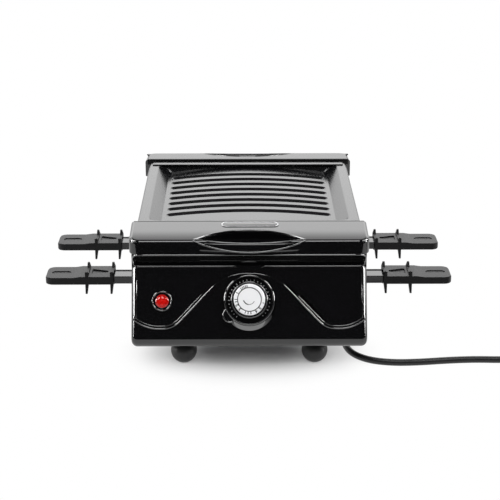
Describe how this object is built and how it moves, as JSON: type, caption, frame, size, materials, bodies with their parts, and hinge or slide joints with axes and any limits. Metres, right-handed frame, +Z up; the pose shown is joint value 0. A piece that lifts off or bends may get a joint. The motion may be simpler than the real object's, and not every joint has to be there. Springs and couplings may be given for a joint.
{
  "type": "raclette grill",
  "caption": "Table-top raclette grill: grooved grill plate between front and rear housings, pans sliding in from both sides, thermostat knob and pilot light on a sloped panel.",
  "frame": {"origin": "on the table, below the middle of the grill without its cord", "axes": "+X to the right, towards the right-hand pans; +Y to the back, away from the control panel; +Z up"},
  "size_m": [0.6998, 0.3772, 0.136],
  "materials": {
    "black_gloss": "glossy black",
    "handle_plastic": "satin black",
    "cast_plate": "dark non-stick coating on cast aluminium",
    "pan_sheet": "dark non-stick coating on steel sheet",
    "steel_sheet": "plain sheet steel",
    "screw_steel": "zinc-plated steel",
    "element_tube": "heat-darkened steel tube",
    "foot_rubber": "soft black rubber",
    "cord_rubber": "black cable sheath",
    "satin_cap": "satin silver",
    "shaft_steel": "bright steel",
    "inner_plastic": "cream moulding",
    "red_lens": "clear red, glossy",
    "lamp_glass": "clear glass",
    "lead_cover": "silicone sleeving",
    "pin_brass": "nickel-plated brass"
  },
  "bodies": {
    "base": {"front_housing": "black_gloss", "rear_housing": "black_gloss", "front_top_cover": "black_gloss", "rear_top_cover": "black_gloss", "front_heat_shield": "steel_sheet", "rear_heat_shield": "steel_sheet", "base_tray": "steel_sheet", "tray_screws": "screw_steel", "foot_1": "foot_rubber", "foot_2": "foot_rubber", "foot_3": "foot_rubber", "foot_4": "foot_rubber", "foot_screws": "screw_steel", "cover_screws": "screw_steel", "heating_element": "element_tube", "element_terminals": "steel_sheet", "element_flanges": "steel_sheet", "element_hooks": "steel_sheet", "thermostat": "inner_plastic", "thermostat_nut": "steel_sheet", "knob_surround": "black_gloss", "pilot_bezel": "black_gloss", "pilot_lens": "red_lens", "neon_lamp": "lamp_glass", "terminal_block": "inner_plastic", "cord_clamp": "inner_plastic", "inner_sheath": "cord_rubber", "inner_leads": "lead_cover", "cord_gland": "cord_rubber", "power_cord": "cord_rubber", "cord_coil": "cord_rubber", "cord_tie": "cord_rubber", "plug_lead": "cord_rubber", "plug_body": "cord_rubber", "plug_pins": "pin_brass"},
    "knob": {"knob": "black_gloss", "knob_cap": "satin_cap", "thermostat_shaft": "shaft_steel"},
    "plate": {"grill_plate": "cast_plate"},
    "pan_front_right": {"pan_front_right": "pan_sheet", "handle_front_right": "handle_plastic", "handle_screw_front_right": "screw_steel"},
    "pan_rear_right": {"pan_rear_right": "pan_sheet", "handle_rear_right": "handle_plastic", "handle_screw_rear_right": "screw_steel"},
    "pan_front_left": {"pan_front_left": "pan_sheet", "handle_front_left": "handle_plastic", "handle_screw_front_left": "screw_steel"},
    "pan_rear_left": {"pan_rear_left": "pan_sheet", "handle_rear_left": "handle_plastic", "handle_screw_rear_left": "screw_steel"}
  },
  "joints": [
    {"name": "knob_turn", "type": "hinge", "parent": "base", "child": "knob", "pos_m": [0, -0.16355, 0.07103], "axis": [0, -0.9063, 0.4226], "range_deg": [-270, 0]},
    {"name": "plate_lift", "type": "slide", "parent": "base", "child": "plate", "axis": [0, 0, 1], "range_m": [0, 0.08]},
    {"name": "pan_front_right_slide", "type": "slide", "parent": "base", "child": "pan_front_right", "axis": [1, 0, 0], "range_m": [0, 0.12]},
    {"name": "pan_rear_right_slide", "type": "slide", "parent": "base", "child": "pan_rear_right", "axis": [1, 0, 0], "range_m": [0, 0.12]},
    {"name": "pan_front_left_slide", "type": "slide", "parent": "base", "child": "pan_front_left", "axis": [-1, 0, 0], "range_m": [0, 0.12]},
    {"name": "pan_rear_left_slide", "type": "slide", "parent": "base", "child": "pan_rear_left", "axis": [-1, 0, 0], "range_m": [0, 0.12]}
  ]
}
